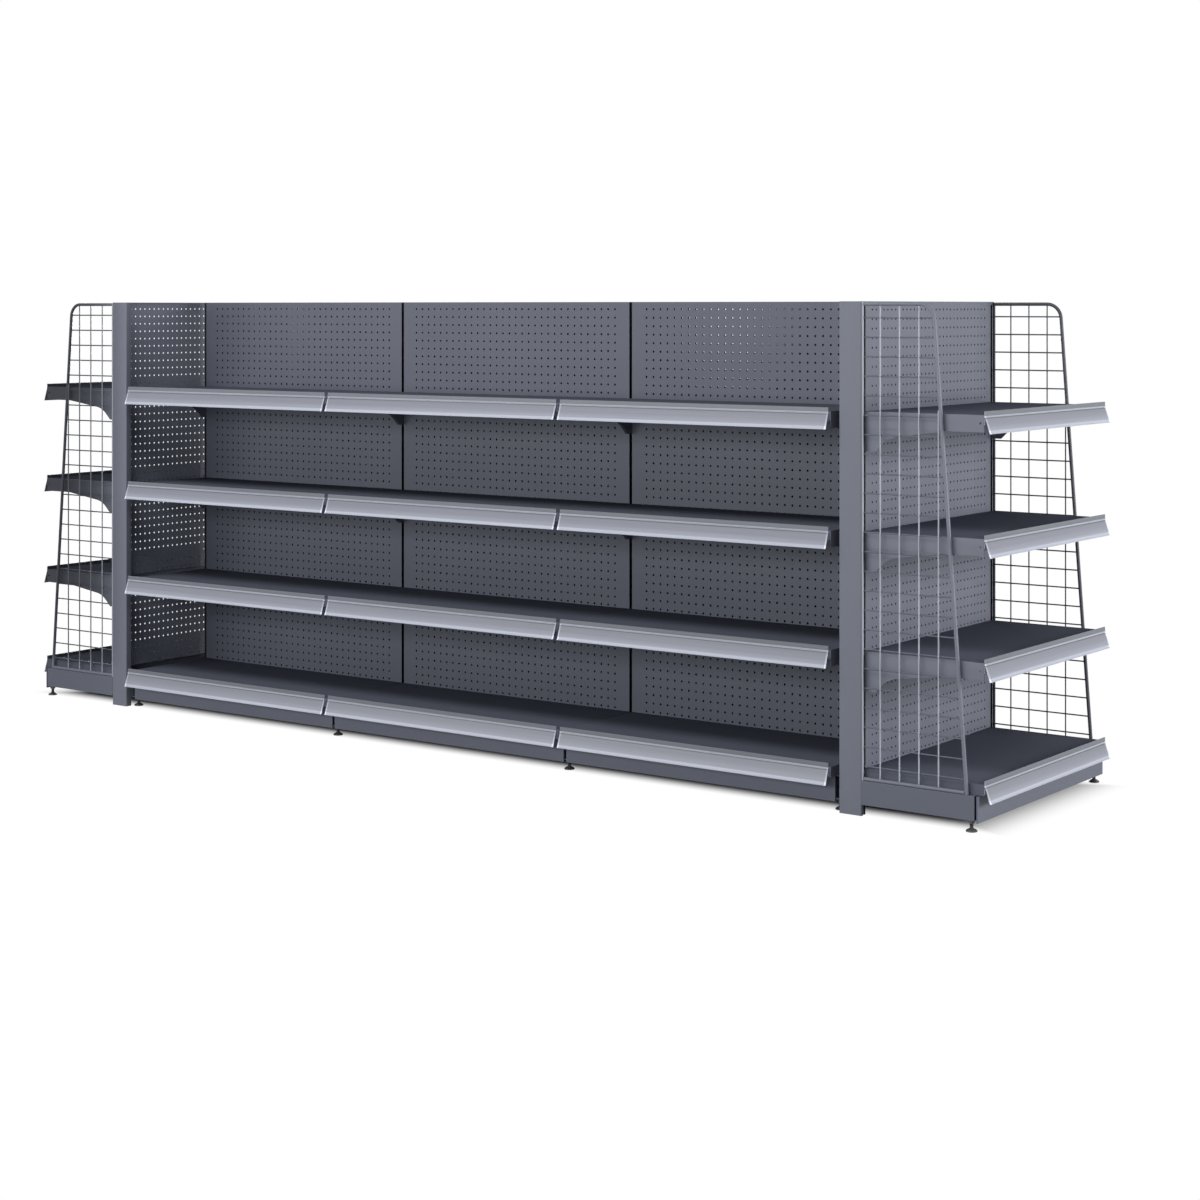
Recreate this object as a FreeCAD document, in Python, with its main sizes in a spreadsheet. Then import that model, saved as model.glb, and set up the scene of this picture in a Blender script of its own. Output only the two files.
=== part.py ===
import FreeCAD, Part
import Sketcher
import math
import os

# Gondola shelving: a two-sided run of three bays with an end cap at each end.
# X runs along the bays, the front looks along -Y, Z is up, origin on the floor
# under the middle of the run. Lengths in millimetres.

os.makedirs("parts", exist_ok=True)
doc = FreeCAD.newDocument("gondola_shelving")

SIZES = (
    ("total_height", 1350, "floor to the top of uprights, posts and panels"),
    ("bay_width", 900, "pitch of the main uprights"),
    ("bay_count", 3, "bays in the run"),
    ("shelf_rows", 3, "lift-off shelves above each base deck"),
    ("floor_clearance", 30, "floor to the underside of the legs"),
    ("upright_width", 30, "main upright along the run"),
    ("upright_depth", 60, "main upright across the run"),
    ("tube_wall", 2, "wall of uprights, posts, legs and ties"),
    ("slot_pitch", 52.5, "vertical step of the bracket slots"),
    ("slot_height", 44, "height of one bracket slot"),
    ("slot_width", 10, "main slot, takes the hooks of two neighbouring bays"),
    ("slots_per_shelf", 6, "slots between one shelf and the next"),
    ("lowest_shelf", 431, "floor to the top of the lowest lift-off shelf"),
    ("panel_depth", 11, "folded depth of a perforated panel"),
    ("panel_sheet", 1.2, "sheet of the panels and kick plates"),
    ("panel_gap", 10, "open strip between the panels of two bays"),
    ("panel_rows", 4, "panels stacked in one bay"),
    ("end_frame_width", 776, "over the two posts of an end frame"),
    ("end_frame_gap", 2.5, "between the last upright and the posts"),
    ("post_width", 66.5, "end post along the run"),
    ("post_depth", 23, "end post across the run"),
    ("post_slot_inset", 5, "inner face of a post to the middle of its slots"),
    ("post_slot_width", 6, "slot in an end post, takes one hook"),
    ("deck_overhang", 12, "main deck in front of the end posts"),
    ("end_deck_depth", 345.5, "end cap deck, back edge to front face"),
    ("deck_sheet", 1.2, "sheet of the decks"),
    ("deck_flange", 25, "folded front and back edge of a shelf deck"),
    ("deck_cheek", 45, "folded ends of a shelf deck, outside the brackets"),
    ("cheek_hole_radius", 3, "hole through each end of an end cap deck"),
    ("cheek_hole_inset", 10, "hole behind the front face of the deck"),
    ("cheek_hole_drop", 22, "hole below the deck top"),
    ("base_flange", 29, "folded edges of a base deck"),
    ("deck_gap", 1.6, "between the decks of two bays"),
    ("deck_rear_gap", 1.5, "panel face or post face to the back edge of a deck"),
    ("stiffener_width", 60, "channel under the middle of a deck"),
    ("stiffener_height", 20, "channel under a deck"),
    ("stiffener_inset", 15, "channel end short of the deck edge, clear of the bracket"),
    ("bracket_plate", 2, "thickness of a bracket"),
    ("bracket_clearance", 0.3, "between a bracket and the deck edges around it"),
    ("bracket_setback", 15, "bracket nose behind the front face of the deck"),
    ("bracket_nose", 44, "height of the bracket at its nose"),
    ("bracket_level", 98, "level part of the lower edge behind the nose"),
    ("bracket_bend", 71, "post face to the bend of the lower edge"),
    ("bracket_bend_drop", 67, "deck underside to the bend of the lower edge"),
    ("bracket_bend_cut", 26, "bevel across that bend, along each edge"),
    ("bracket_heel", 32, "post face to the foot of the steep part"),
    ("hook_seat", 52, "deck underside to the seat of the upper hook"),
    ("hook_height", 24, "neck of a hook"),
    ("hook_drop", 10, "tip of a hook below its seat"),
    ("hook_tip", 3, "thickness of a hook tip behind the wall"),
    ("hook_clearance", 0.3, "hook tip to the back of the wall"),
    ("rail_rise", 9, "lip of a price rail above the deck"),
    ("rail_lip", 3, "thickness of the lip"),
    ("rail_knee", 4, "deck top to the upper edge of the label face"),
    ("rail_bead", 1.5, "blunt lower edge of the label face"),
    ("rail_drop", 49, "deck top to the lower edge of the rail"),
    ("rail_lean", 16, "lean of the label face"),
    ("rail_wall", 2, "wall of the rail"),
    ("rail_hook", 6, "rail foot under the deck edge"),
    ("rail_inset", 5, "rail end short of the bay line"),
    ("end_rail_inset", 1.5, "rail end short of the end cap deck"),
    ("leg_height", 63, "legs and base ties"),
    ("leg_setback", 34, "front end of a main leg behind the deck front"),
    ("end_leg_setback", 15, "front end of an end cap leg behind the deck front"),
    ("kick_depth", 4, "folded depth of a kick plate"),
    ("kick_height", 68, "kick plate"),
    ("kick_floor_gap", 24, "floor to the lower edge of a kick plate"),
    ("kick_inset", 5, "kick plate end short of the bay line"),
    ("end_kick_inset", 2, "end kick plate short of the leg's outer face"),
    ("foot_inset", 18, "front end of a leg to the middle of its foot"),
    ("foot_radius", 15, "pad of a levelling foot"),
    ("foot_pad", 6, "height of the pad"),
    ("collar_radius", 9, "hexagon collar under the leg, over corners"),
    ("collar_height", 8, "hexagon collar"),
    ("stud_radius", 5, "stud of a levelling foot"),
    ("stud_length", 25, "stud above the underside of the leg"),
    ("stud_clearance", 0.3, "stud to the hole in the leg"),
    ("small_sides", 6, "faces round a foot, a hole or a rod"),
    ("wire_sides", 4, "faces round a wire"),
    ("rod_radius", 5, "bent rod and bottom rod of a mesh side panel"),
    ("bar_radius", 3, "upright bar of a mesh side panel, against the post"),
    ("wire_radius", 2, "wires of a mesh side panel"),
    ("mesh_top_gap", 2, "top of the mesh below the post top"),
    ("mesh_top_depth", 208.5, "post face to the corner of the top rod"),
    ("mesh_foot_setback", 28, "foot of the sloping rod behind the end of the leg"),
    ("mesh_bend_radius", 42, "bend between top rod and sloping rod"),
    ("mesh_inset", 5, "outer face of a post to the plane of the mesh"),
    ("mesh_rows", 24, "level wires"),
    ("mesh_row_first", 33, "bottom rod to the lowest level wire"),
    ("mesh_row_pitch", 51.13, "step of the level wires"),
    ("mesh_columns", 4, "upright wires"),
    ("mesh_column_first", 55, "post face to the first upright wire"),
    ("mesh_column_pitch", 56.5, "step of the upright wires"),
    ("weld_gap", 0.05, "wire end to rod at a weld"),
)

dims = doc.addObject("Spreadsheet::Sheet", "dims")
for line, (alias, value, note) in enumerate(SIZES, 1):
    dims.set(f"A{line}", alias)
    dims.set(f"B{line}", str(value))
    dims.set(f"C{line}", note)
    dims.setAlias(f"B{line}", alias)
doc.recompute()

# Places that several pieces share, from the middle of the run and from the floor
PANEL_FACE = "(dims.upright_depth / 2 + dims.panel_depth)"
DECK_REAR = f"({PANEL_FACE} + dims.deck_rear_gap)"
DECK_FRONT = "(dims.end_frame_width / 2 + dims.deck_overhang)"
DECK_DEPTH = f"({DECK_FRONT} - {DECK_REAR})"
LEG_LENGTH = f"({DECK_FRONT} - dims.leg_setback - dims.upright_depth / 2)"
END_LEG_LENGTH = "(dims.deck_rear_gap + dims.end_deck_depth - dims.end_leg_setback)"
DECK_HALF = "(dims.bay_width / 2 - dims.deck_gap / 2)"
BRACKET_LINE = f"({DECK_HALF} - dims.deck_sheet - dims.bracket_clearance - dims.bracket_plate / 2)"
LAST_UPRIGHT = "(dims.bay_width * dims.bay_count / 2)"
POST_REAR = f"({LAST_UPRIGHT} + dims.upright_width / 2 + dims.end_frame_gap)"
POST_FACE = f"({POST_REAR} + dims.post_width)"
POST_INSIDE = "(dims.end_frame_width / 2 - dims.post_depth)"
END_BRACKET_LINE = f"({POST_INSIDE} + dims.post_slot_inset)"
END_DECK_REAR = f"({POST_FACE} + dims.deck_rear_gap)"
END_DECK_FRONT = f"({END_DECK_REAR} + dims.end_deck_depth)"
END_DECK_HALF = f"({END_BRACKET_LINE} + dims.bracket_plate / 2 + dims.bracket_clearance + dims.deck_sheet)"
LEG_TOP = "(dims.floor_clearance + dims.leg_height)"
BASE_TOP = f"({LEG_TOP} + dims.base_flange)"
PANEL_HEIGHT = f"((dims.total_height - {BASE_TOP}) / dims.panel_rows)"
FIRST_SLOT = "(dims.lowest_shelf - dims.deck_sheet - dims.hook_seat - dims.slot_pitch)"

# Pieces are drawn with +X pointing away from the spine and +Y along their front,
# then turned about Z to the side of the run that they belong to.
FRONT = -90
REAR = 90
RIGHT = 0
LEFT = 180


def number(expression):
    return float(dims.evalExpression(expression))


def shelf_top(row):
    return f"(dims.lowest_shelf + {row} * dims.slots_per_shelf * dims.slot_pitch)"


def bay_middle(bay):
    return f"(dims.bay_width * ({bay} + 0.5 - dims.bay_count / 2))"


def upright_line(index):
    return f"(dims.bay_width * ({index} - dims.bay_count / 2))"


def place(item, x, y, z, turn=0.0, axis=(0, 0, 1)):
    item.Placement = FreeCAD.Placement(FreeCAD.Vector(), FreeCAD.Rotation(FreeCAD.Vector(*axis), turn))
    for letter, expression in zip("xyz", (x, y, z)):
        item.setExpression(f".Placement.Base.{letter}", expression)
    return item


def copy_of(source, label, x, y, z, turn=0.0):
    link = doc.addObject("App::Link", label)
    link.LinkedObject = source
    link.Label = label
    return place(link, x, y, z, turn)


def group(label, members):
    compound = doc.addObject("Part::Compound", label)
    compound.Label = label
    compound.Links = members
    return compound


def mirrored(source, label):
    other = doc.addObject("Part::Mirroring", label)
    other.Source = source
    other.Normal = (0, 1, 0)
    return other


def box(name, start, size):
    block = doc.addObject("Part::Box", name)
    for prop, expression in zip(("Length", "Width", "Height"), size):
        block.setExpression(prop, expression)
    return place(block, *start)


def prism(name, sides, radius, height):
    bar = doc.addObject("Part::Prism", name)
    bar.setExpression("Polygon", sides)
    bar.setExpression("Circumradius", radius)
    bar.setExpression("Height", height)
    return bar


def cut(name, base, tools):
    result = doc.addObject("Part::Cut", name)
    result.Base = base
    result.Tool = tools[0] if len(tools) == 1 else group(f"{name}_tools", tools)
    return result


def origin_item(body, role):
    return next(item for item in body.Origin.OriginFeatures if item.Role == role)


def sketch_on(body, name, role, *outlines):
    sketch = body.newObject("Sketcher::SketchObject", name)
    sketch.AttachmentSupport = [(origin_item(body, role), "")]
    sketch.MapMode = "FlatFace"
    for outline in outlines:
        first = sketch.GeometryCount
        spots = [FreeCAD.Vector(number(x), number(y), 0) for x, y in outline]
        for index, spot in enumerate(spots):
            sketch.addGeometry(Part.LineSegment(spot, spots[(index + 1) % len(spots)]), False)
        for index in range(len(spots)):
            following = first + (index + 1) % len(spots)
            sketch.addConstraint(Sketcher.Constraint("Coincident", first + index, 2, following, 1))
        for index, (x, y) in enumerate(outline):
            for kind, expression in (("DistanceX", x), ("DistanceY", y)):
                value = number(expression)
                constraint = sketch.addConstraint(Sketcher.Constraint(kind, first + index, 1, value))
                sketch.setExpression(f"Constraints[{constraint}]", expression)
    return sketch


def rectangle(left, right, low, high):
    return ((left, low), (right, low), (right, high), (left, high))


def pad(body, sketch, length, middle):
    feature = body.newObject("PartDesign::Pad", f"{sketch.Name}_pad")
    feature.Profile = sketch
    feature.Midplane = middle
    feature.setExpression("Length", length)
    doc.recompute()
    return feature


def closed_end(body, name, outline, low):
    """A plate that closes a tube, its underside at the height low."""
    sketch = sketch_on(body, name, "XY_Plane", outline)
    sketch.setExpression(".AttachmentOffset.Base.z", low)
    return pad(body, sketch, "dims.tube_wall", False)


def slot_rows(body, pocket):
    """One slot per slot pitch, from the lower hook of the lowest shelf to the upper hook of the highest."""
    steps = "((dims.shelf_rows - 1) * dims.slots_per_shelf + 1)"
    pattern = body.newObject("PartDesign::LinearPattern", f"{pocket.Name}_rows")
    pattern.Originals = [pocket]
    pattern.Direction = (origin_item(body, "Z_Axis"), [""])
    pattern.setExpression("Length", f"dims.slot_pitch * {steps}")
    pattern.setExpression("Occurrences", f"{steps} + 1")
    body.Tip = pattern
    doc.recompute()


nodes = []

# Main uprights: rectangular tubes on the centre line of the run, slotted at the front and at the rear
upright = doc.addObject("PartDesign::Body", "upright")
upright_half = ("dims.upright_width / 2", "dims.upright_depth / 2")
upright_outline = rectangle(f"-{upright_half[0]}", upright_half[0], f"-{upright_half[1]}", upright_half[1])
upright_tube = sketch_on(
    upright, "upright_tube", "XY_Plane", upright_outline,
    rectangle(f"-{upright_half[0]} + dims.tube_wall", f"{upright_half[0]} - dims.tube_wall",
              f"-{upright_half[1]} + dims.tube_wall", f"{upright_half[1]} - dims.tube_wall"))
pad(upright, upright_tube, "dims.total_height - dims.floor_clearance", False)
closed_end(upright, "upright_cap", upright_outline,
           "dims.total_height - dims.floor_clearance - dims.tube_wall")
slot_foot = f"({FIRST_SLOT} - dims.floor_clearance)"
upright_slot = sketch_on(
    upright, "upright_slot", "XZ_Plane",
    rectangle("-dims.slot_width / 2", "dims.slot_width / 2", slot_foot, f"{slot_foot} + dims.slot_height"))
upright_pocket = upright.newObject("PartDesign::Pocket", "upright_slot_pocket")
upright_pocket.Profile = upright_slot
upright_pocket.Type = "ThroughAll"
upright_pocket.Midplane = True
slot_rows(upright, upright_pocket)
bays = int(number("dims.bay_count"))
uprights = []
for index in range(bays + 1):
    uprights.append(copy_of(upright, f"upright_{index + 1}", upright_line(index), "0", "dims.floor_clearance"))
nodes.append(group("main_uprights", uprights))

# End posts: four wide tubes standing on the floor, slotted on the outer face only
post = doc.addObject("PartDesign::Body", "post")
post_outline = rectangle("-dims.post_width / 2", "dims.post_width / 2", "-dims.post_depth", "0")
post_tube = sketch_on(
    post, "post_tube", "XY_Plane", post_outline,
    rectangle("-dims.post_width / 2 + dims.tube_wall", "dims.post_width / 2 - dims.tube_wall",
              "-dims.post_depth + dims.tube_wall", "-dims.tube_wall"))
pad(post, post_tube, "dims.total_height", False)
closed_end(post, "post_foot", post_outline, "0")
closed_end(post, "post_cap", post_outline, "dims.total_height - dims.tube_wall")
post_slot = sketch_on(
    post, "post_slot", "YZ_Plane",
    rectangle("-dims.post_slot_inset - dims.post_slot_width / 2",
              "-dims.post_slot_inset + dims.post_slot_width / 2",
              FIRST_SLOT, f"{FIRST_SLOT} + dims.slot_height"))
post_pocket = post.newObject("PartDesign::Pocket", "post_slot_pocket")
post_pocket.Profile = post_slot
post_pocket.Type = "ThroughAll"
post_pocket.Reversed = True
slot_rows(post, post_pocket)
far_post = mirrored(post, "far_post")
post_middle = f"({POST_REAR} + dims.post_width / 2)"
nodes.append(group("end_posts", [
    copy_of(post, "post_right_front", post_middle, f"-{POST_INSIDE}", "0", RIGHT),
    copy_of(far_post, "post_right_rear", post_middle, POST_INSIDE, "0", RIGHT),
    copy_of(far_post, "post_left_front", f"-{post_middle}", f"-{POST_INSIDE}", "0", LEFT),
    copy_of(post, "post_left_rear", f"-{post_middle}", POST_INSIDE, "0", LEFT)]))


# Base legs and ties: tubes under the base decks, each leg with a hole for its foot
def leg(name, length, width):
    tube = box(f"{name}_outside", ("0", f"-{width} / 2", "0"), (length, width, "dims.leg_height"))
    bore = box(f"{name}_inside", ("0", f"-{width} / 2 + dims.tube_wall", "dims.tube_wall"),
               (length, f"{width} - 2 * dims.tube_wall", "dims.leg_height - 2 * dims.tube_wall"))
    flat_to_corner = "cos(180deg / dims.small_sides)"
    hole = prism(f"{name}_foot_hole", "dims.small_sides",
                 f"(dims.stud_radius + dims.stud_clearance) / {flat_to_corner}", "dims.leg_height / 2")
    place(hole, f"{length} - dims.foot_inset", "0", "-dims.leg_height / 4")
    return cut(name, tube, [bore, hole])


main_leg = leg("main_leg", LEG_LENGTH, "dims.upright_width")
end_leg = leg("end_leg", END_LEG_LENGTH, "dims.post_depth")
tie_start = f"({LAST_UPRIGHT} + dims.upright_width / 2)"
tie_width = f"({POST_FACE} - dims.panel_depth - {tie_start})"
tie = cut(
    "base_tie",
    box("base_tie_outside", (tie_start, f"-{POST_INSIDE}", "dims.floor_clearance"),
        (tie_width, f"2 * {POST_INSIDE}", "dims.leg_height")),
    [box("base_tie_inside",
         (f"{tie_start} + dims.tube_wall", f"-{POST_INSIDE}", "dims.floor_clearance + dims.tube_wall"),
         (f"{tie_width} - 2 * dims.tube_wall", f"2 * {POST_INSIDE}", "dims.leg_height - 2 * dims.tube_wall"))])
base_members = [tie, copy_of(tie, "base_tie_left", "0", "0", "0", LEFT)]
post_line = f"({POST_INSIDE} + dims.post_depth / 2)"
foot_places = []
for side, sign, turn in (("front", "-", FRONT), ("rear", "", REAR)):
    for index in range(bays + 1):
        line = upright_line(index)
        base_members.append(copy_of(main_leg, f"leg_{side}_{index + 1}", line,
                                    f"{sign}dims.upright_depth / 2", "dims.floor_clearance", turn))
        reach = f"{sign}(dims.upright_depth / 2 + {LEG_LENGTH} - dims.foot_inset)"
        foot_places.append((f"foot_{side}_{index + 1}", line, reach))
for end, sign, turn in (("left", "-", LEFT), ("right", "", RIGHT)):
    for side, flank in (("front", "-"), ("rear", "")):
        base_members.append(copy_of(end_leg, f"leg_{end}_end_{side}", f"{sign}{POST_FACE}",
                                    f"{flank}{post_line}", "dims.floor_clearance", turn))
        reach = f"{sign}({POST_FACE} + {END_LEG_LENGTH} - dims.foot_inset)"
        foot_places.append((f"foot_{end}_end_{side}", reach, f"{flank}{post_line}"))
nodes.append(group("base_legs", base_members))

# Levelling feet: pad, stud and hexagon collar in one moulding
foot_low = "(-dims.floor_clearance)"
stud_low = f"({foot_low} + dims.foot_pad)"
foot = doc.addObject("Part::MultiFuse", "foot")
foot.Shapes = [
    place(prism("foot_pad", "dims.small_sides", "dims.foot_radius", "dims.foot_pad"), "0", "0", foot_low),
    place(prism("foot_stud", "dims.small_sides", "dims.stud_radius", f"dims.stud_length - {stud_low}"),
          "0", "0", stud_low),
    place(prism("foot_collar", "dims.small_sides", "dims.collar_radius", "dims.collar_height"),
          "0", "0", "-dims.collar_height")]
for label, x, y in foot_places:
    nodes.append(copy_of(foot, label, x, y, "dims.floor_clearance"))


# Perforated panels: folded pans stacked on the uprights and between the end posts
def pan(name, half, depth, height):
    skin = box(f"{name}_outside", ("0", f"-{half}", "0"), (depth, f"2 * {half}", height))
    hollow = box(f"{name}_inside", ("0", f"-{half} + dims.panel_sheet", "dims.panel_sheet"),
                 (f"{depth} - dims.panel_sheet", f"2 * ({half} - dims.panel_sheet)",
                  f"{height} - 2 * dims.panel_sheet"))
    return cut(name, skin, [hollow])


main_panel = pan("main_panel", "((dims.bay_width - dims.panel_gap) / 2)", "dims.panel_depth", PANEL_HEIGHT)
end_panel = pan("end_panel", POST_INSIDE, "dims.panel_depth", PANEL_HEIGHT)
panels = []
for row in range(int(number("dims.panel_rows"))):
    level = f"{BASE_TOP} + {row} * {PANEL_HEIGHT}"
    for side, sign, turn in (("front", "-", FRONT), ("rear", "", REAR)):
        for bay in range(bays):
            panels.append(copy_of(main_panel, f"panel_{side}_{bay + 1}_{row + 1}", bay_middle(bay),
                                  f"{sign}dims.upright_depth / 2", level, turn))
    for end, sign, turn in (("left", "-", LEFT), ("right", "", RIGHT)):
        panels.append(copy_of(end_panel, f"panel_{end}_end_{row + 1}",
                              f"{sign}({POST_FACE} - dims.panel_depth)", "0", level, turn))
nodes.append(group("perforated_panels", panels))

# Kick plates: shallow pans across the front ends of the legs
main_kick = pan("main_kick", "(dims.bay_width / 2 - dims.kick_inset)", "dims.kick_depth", "dims.kick_height")
end_kick = pan("end_kick", "(dims.end_frame_width / 2 - dims.end_kick_inset)", "dims.kick_depth",
               "dims.kick_height")
kicks = []
for side, sign, turn in (("front", "-", FRONT), ("rear", "", REAR)):
    for bay in range(bays):
        kicks.append(copy_of(main_kick, f"kick_{side}_{bay + 1}", bay_middle(bay),
                             f"{sign}(dims.upright_depth / 2 + {LEG_LENGTH})", "dims.kick_floor_gap", turn))
for end, sign, turn in (("left", "-", LEFT), ("right", "", RIGHT)):
    kicks.append(copy_of(end_kick, f"kick_{end}_end", f"{sign}({POST_FACE} + {END_LEG_LENGTH})", "0",
                         "dims.kick_floor_gap", turn))
nodes.append(group("kick_plates", kicks))


# Decks: sheet folded down all round, with a channel welded under the middle
def deck(name, depth, half, flange, cheek):
    sheet = box(f"{name}_outside", ("0", f"-{half}", f"-{cheek}"), (depth, f"2 * {half}", cheek))
    inside = (f"-{half} + dims.deck_sheet", f"2 * ({half} - dims.deck_sheet)")
    hollows = [box(f"{name}_inside", ("dims.deck_sheet", inside[0], f"-{cheek}"),
                   (f"{depth} - 2 * dims.deck_sheet", inside[1], f"{cheek} - dims.deck_sheet"))]
    if number(cheek) > number(flange):
        hollows.append(box(f"{name}_below", ("0", inside[0], f"-{cheek}"),
                           (depth, inside[1], f"{cheek} - {flange}")))
    channel_half = f"({half} - dims.stiffener_inset)"
    channel_low = "-dims.deck_sheet - dims.stiffener_height"
    channel = box(f"{name}_channel_outside",
                  (f"({depth} - dims.stiffener_width) / 2", f"-{channel_half}", channel_low),
                  ("dims.stiffener_width", f"2 * {channel_half}", "dims.stiffener_height"))
    bore = box(f"{name}_channel_inside",
               (f"({depth} - dims.stiffener_width) / 2 + dims.deck_sheet", f"-{channel_half}",
                f"{channel_low} + dims.deck_sheet"),
               ("dims.stiffener_width - 2 * dims.deck_sheet", f"2 * {channel_half}",
                "dims.stiffener_height - dims.deck_sheet"))
    whole = doc.addObject("Part::Fuse", name)
    whole.Base = cut(f"{name}_pan", sheet, hollows)
    whole.Tool = cut(f"{name}_channel", channel, [bore])
    return whole


main_deck = deck("main_deck", DECK_DEPTH, DECK_HALF, "dims.deck_flange", "dims.deck_cheek")
main_base = deck("main_base", DECK_DEPTH, DECK_HALF, "dims.base_flange", "dims.base_flange")
end_base = deck("end_base", "dims.end_deck_depth", END_DECK_HALF, "dims.base_flange", "dims.base_flange")
end_sheet = deck("end_sheet", "dims.end_deck_depth", END_DECK_HALF, "dims.deck_flange", "dims.deck_cheek")
cheek_hole = prism("cheek_hole", "dims.small_sides", "dims.cheek_hole_radius", f"3 * {END_DECK_HALF}")
place(cheek_hole, "dims.end_deck_depth - dims.cheek_hole_inset", f"1.5 * {END_DECK_HALF}",
      "-dims.cheek_hole_drop", 90, (1, 0, 0))
end_deck = cut("end_deck", end_sheet, [cheek_hole])


# Price rails: a plastic section with a raised lip, a sloping label face and a foot under the deck edge
def rail(name, half, flange):
    body = doc.addObject("PartDesign::Body", name)
    reach = "dims.rail_lip + dims.rail_lean"
    outline = (
        ("0", "dims.rail_rise"),
        ("dims.rail_lip", "dims.rail_rise"),
        ("dims.rail_lip", "-dims.rail_knee"),
        (reach, "-dims.rail_drop + dims.rail_bead"),
        (reach, "-dims.rail_drop"),
        (f"{reach} - dims.rail_bead - dims.rail_wall", "-dims.rail_drop"),
        ("dims.rail_wall", "-dims.rail_knee - dims.rail_lip"),
        ("dims.rail_wall", f"-{flange} - dims.rail_wall"),
        ("-dims.rail_hook", f"-{flange} - dims.rail_wall"),
        ("-dims.rail_hook", f"-{flange}"),
        ("0", f"-{flange}"))
    pad(body, sketch_on(body, f"{name}_section", "XZ_Plane", outline), f"2 * {half}", True)
    return body


rail_half = "(dims.bay_width / 2 - dims.rail_inset)"
end_rail_half = f"({END_DECK_HALF} - dims.end_rail_inset)"
main_rail = rail("main_rail", rail_half, "dims.deck_flange")
end_rail = rail("end_rail", end_rail_half, "dims.deck_flange")
base_rail = rail("base_rail", rail_half, "dims.base_flange")
end_base_rail = rail("end_base_rail", end_rail_half, "dims.base_flange")

base_decks = []
base_rails = []
for side, sign, turn in (("front", "-", FRONT), ("rear", "", REAR)):
    for bay in range(bays):
        spot = f"{side}_{bay + 1}"
        middle = bay_middle(bay)
        rear = f"{sign}{DECK_REAR}"
        front = f"{sign}{DECK_FRONT}"
        base_decks.append(copy_of(main_base, f"base_deck_{spot}", middle, rear, BASE_TOP, turn))
        base_rails.append(copy_of(base_rail, f"base_rail_{spot}", middle, front, BASE_TOP, turn))
for end, sign, turn in (("left", "-", LEFT), ("right", "", RIGHT)):
    spot = f"{end}_end"
    rear = f"{sign}{END_DECK_REAR}"
    front = f"{sign}{END_DECK_FRONT}"
    base_decks.append(copy_of(end_base, f"base_deck_{spot}", rear, "0", BASE_TOP, turn))
    base_rails.append(copy_of(end_base_rail, f"base_rail_{spot}", front, "0", BASE_TOP, turn))
nodes.append(group("base_decks", base_decks))
nodes.append(group("base_price_rails", base_rails))


# Brackets: flat plates standing under the deck ends, each with a hook and below it a tongue that sit in two slots.
# The top edge starts in front of the folded back edge of the deck and carries the sheet.
def bracket(name, depth, rear):
    body = doc.addObject("PartDesign::Body", name)
    nose = f"({rear} + {depth} - dims.bracket_setback)"
    step = f"{rear} + dims.deck_sheet + dims.bracket_clearance"
    shoulder = "-(dims.deck_flange - dims.deck_sheet + dims.bracket_clearance)"
    behind = "-(dims.tube_wall + dims.hook_clearance)"
    tip = "-(dims.tube_wall + dims.hook_clearance + dims.hook_tip)"
    upper = "-dims.hook_seat"
    lower = "-(dims.hook_seat + dims.slot_pitch)"
    outline = (
        (step, "0"),
        (nose, "0"),
        (nose, "-dims.bracket_nose"),
        (f"{nose} - dims.bracket_level", "-dims.bracket_nose"),
        ("dims.bracket_bend", "-dims.bracket_bend_drop"),
        ("dims.bracket_heel", lower),
        (tip, lower),
        (tip, f"{lower} + dims.hook_height"),
        ("0", f"{lower} + dims.hook_height"),
        ("0", upper),
        (behind, upper),
        (behind, f"{upper} - dims.hook_drop"),
        (tip, f"{upper} - dims.hook_drop"),
        (tip, f"{upper} + dims.hook_height"),
        ("0", f"{upper} + dims.hook_height"),
        ("0", shoulder),
        (step, shoulder))
    plate = pad(body, sketch_on(body, f"{name}_outline", "XZ_Plane", outline), "dims.bracket_plate", True)
    corner = FreeCAD.Vector(number("dims.bracket_bend"), 0, -number("dims.bracket_bend_drop"))
    edges = [f"Edge{index}" for index, edge in enumerate(plate.Shape.Edges, 1)
             if edge.CenterOfMass.distanceToPoint(corner) < number("dims.bracket_plate") / 10]
    bend = body.newObject("PartDesign::Chamfer", f"{name}_bend")
    bend.Base = (plate, edges)
    bend.setExpression("Size", "dims.bracket_bend_cut")
    doc.recompute()
    return body


main_bracket = bracket("main_bracket", DECK_DEPTH, "(dims.panel_depth + dims.deck_rear_gap)")
end_bracket = bracket("end_bracket", "dims.end_deck_depth", "dims.deck_rear_gap")
brackets = []
for row in range(int(number("dims.shelf_rows"))):
    level = f"{shelf_top(row)} - dims.deck_sheet"
    for side, sign, turn in (("front", "-", FRONT), ("rear", "", REAR)):
        for bay in range(bays):
            for hand, flank in (("left", "-"), ("right", "+")):
                brackets.append(copy_of(main_bracket, f"bracket_{side}_{bay + 1}_{row + 1}_{hand}",
                                        f"{bay_middle(bay)} {flank} {BRACKET_LINE}",
                                        f"{sign}dims.upright_depth / 2", level, turn))
    for end, sign, turn in (("left", "-", LEFT), ("right", "", RIGHT)):
        for side, flank in (("front", "-"), ("rear", "")):
            brackets.append(copy_of(end_bracket, f"bracket_{end}_end_{row + 1}_{side}", f"{sign}{POST_FACE}",
                                    f"{flank}{END_BRACKET_LINE}", level, turn))
nodes.append(group("shelf_brackets", brackets))

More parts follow.
